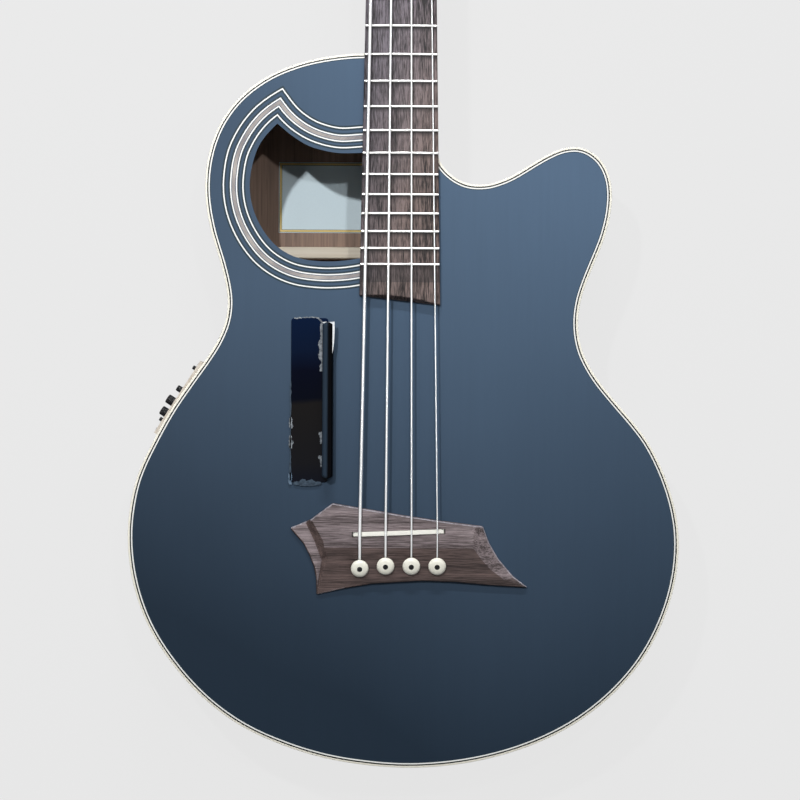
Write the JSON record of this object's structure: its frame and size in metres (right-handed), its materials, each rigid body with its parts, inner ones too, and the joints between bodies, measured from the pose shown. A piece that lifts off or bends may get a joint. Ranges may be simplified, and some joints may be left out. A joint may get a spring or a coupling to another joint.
{
  "type": "acoustic bass guitar",
  "caption": "Acoustic bass guitar with a single cutaway, an offset pointed soundhole, a carved wenge bridge, a thumb rest and a side preamp.",
  "frame": {"origin": "on the outer face of the flat back, straight below the middle of the saddle on the neck's centre line", "axes": "+Z out of the soundboard, +Y towards the headstock along the neck, +X to the treble side with the cutaway"},
  "size_m": [0.4453, 1.2486, 0.1083],
  "materials": {
    "top_lacquer": "matte slate-blue lacquer over a spruce plate",
    "binding": "cream plastic with a dark and a white line",
    "side_veneer": "dark brown wood, satin",
    "spruce": "bare pale spruce",
    "neck_wood": "dark brown wood, satin lacquer",
    "wenge": "oiled open-pored wood with light streaks",
    "bridge_wood": "oiled open-pored wood, grain across the body",
    "rosette_wood": "greyish tan wood strip",
    "panel_wood": "tan wood, satin",
    "paper": "blank printed paper with a gold border",
    "bone": "polished cream bone plastic",
    "gloss_black": "mirror-gloss black, protective film torn at its edges",
    "matte_black": "black moulded plastic",
    "chrome": "polished chrome plate",
    "string_steel": "round-wound nickel steel",
    "rod_steel": "plain steel"
  },
  "bodies": {
    "root": {"soundboard": "top_lacquer", "top_binding": "binding", "back_binding": "binding", "back_plate": "side_veneer", "bass_side": "side_veneer", "treble_side": "side_veneer", "top_lining": "spruce", "back_lining": "spruce", "neck_block": "spruce", "tail_block": "spruce", "x_brace": "spruce", "upper_brace": "spruce", "back_brace_1": "spruce", "back_brace_2": "spruce", "back_brace_3": "spruce", "neck": "neck_wood", "bridge_plate": "neck_wood", "fingerboard": "wenge", "bridge": "bridge_wood", "rosette": "rosette_wood", "preamp_panel": "panel_wood", "label": "paper", "nut": "bone", "saddle": "bone", "bridge_pin_e": "bone", "bridge_pin_a": "bone", "bridge_pin_d": "bone", "bridge_pin_g": "bone", "thumb_rest": "gloss_black", "truss_cover": "matte_black", "preamp_box": "matte_black", "battery": "matte_black", "tuner_housing_e": "chrome", "tuner_bushing_e": "chrome", "string_e": "string_steel", "tuner_housing_a": "chrome", "tuner_bushing_a": "chrome", "string_a": "string_steel", "tuner_housing_d": "chrome", "tuner_bushing_d": "chrome", "string_d": "string_steel", "tuner_housing_g": "chrome", "tuner_bushing_g": "chrome", "string_g": "string_steel", "endpin_jack": "chrome", "truss_rod": "rod_steel", "pickup_strip": "rod_steel"},
    "key_e": {"tuner_key_e": "chrome"},
    "post_e": {"tuner_post_e": "chrome"},
    "key_a": {"tuner_key_a": "chrome"},
    "post_a": {"tuner_post_a": "chrome"},
    "key_d": {"tuner_key_d": "chrome"},
    "post_d": {"tuner_post_d": "chrome"},
    "key_g": {"tuner_key_g": "chrome"},
    "post_g": {"tuner_post_g": "chrome"},
    "volume_control": {"volume_knob": "matte_black"},
    "bass_control": {"bass_knob": "matte_black"},
    "treble_control": {"treble_knob": "matte_black"},
    "tuner_switch": {"tuner_button": "matte_black"},
    "phase_switch": {"phase_button": "matte_black"}
  },
  "joints": [
    {"name": "key_turn_e", "type": "hinge", "parent": "root", "child": "key_e", "pos_m": [-0.026, 0.90543, 0.06267], "axis": [1, 0, 0], "continuous": true},
    {"name": "post_turn_e", "type": "hinge", "parent": "root", "child": "post_e", "pos_m": [-0.026, 0.92046, 0.08242], "axis": [0, 0.2419, 0.9703], "continuous": true},
    {"name": "key_turn_a", "type": "hinge", "parent": "root", "child": "key_a", "pos_m": [-0.026, 0.96947, 0.0467], "axis": [1, 0, 0], "continuous": true},
    {"name": "post_turn_a", "type": "hinge", "parent": "root", "child": "post_a", "pos_m": [-0.026, 0.9845, 0.06645], "axis": [0, 0.2419, 0.9703], "continuous": true},
    {"name": "key_turn_d", "type": "hinge", "parent": "root", "child": "key_d", "pos_m": [0.026, 0.96947, 0.0467], "axis": [1, 0, 0], "continuous": true},
    {"name": "post_turn_d", "type": "hinge", "parent": "root", "child": "post_d", "pos_m": [0.026, 0.9845, 0.06645], "axis": [0, 0.2419, 0.9703], "continuous": true},
    {"name": "key_turn_g", "type": "hinge", "parent": "root", "child": "key_g", "pos_m": [0.026, 0.90543, 0.06267], "axis": [1, 0, 0], "continuous": true},
    {"name": "post_turn_g", "type": "hinge", "parent": "root", "child": "post_g", "pos_m": [0.026, 0.92046, 0.08242], "axis": [0, 0.2419, 0.9703], "continuous": true},
    {"name": "volume_turn", "type": "hinge", "parent": "root", "child": "volume_control", "pos_m": [-0.18273, 0.10159, 0.0638], "axis": [-0.8428, 0.5382, 0], "range_deg": [-150, 150]},
    {"name": "bass_turn", "type": "hinge", "parent": "root", "child": "bass_control", "pos_m": [-0.18849, 0.09256, 0.0638], "axis": [-0.8428, 0.5382, 0], "range_deg": [-150, 150]},
    {"name": "treble_turn", "type": "hinge", "parent": "root", "child": "treble_control", "pos_m": [-0.1764, 0.1115, 0.0638], "axis": [-0.8428, 0.5382, 0], "range_deg": [-150, 150]},
    {"name": "tuner_press", "type": "slide", "parent": "root", "child": "tuner_switch", "axis": [0.8428, -0.5382, 0], "range_m": [0, 0.0012], "stiffness_N_per_m": 300},
    {"name": "phase_press", "type": "slide", "parent": "root", "child": "phase_switch", "axis": [0.8428, -0.5382, 0], "range_m": [0, 0.0012], "stiffness_N_per_m": 300}
  ],
  "couplings": [
    {"joint": "post_turn_e", "follows": "key_turn_e", "ratio": 0.05},
    {"joint": "post_turn_a", "follows": "key_turn_a", "ratio": 0.05},
    {"joint": "post_turn_d", "follows": "key_turn_d", "ratio": -0.05},
    {"joint": "post_turn_g", "follows": "key_turn_g", "ratio": -0.05}
  ]
}
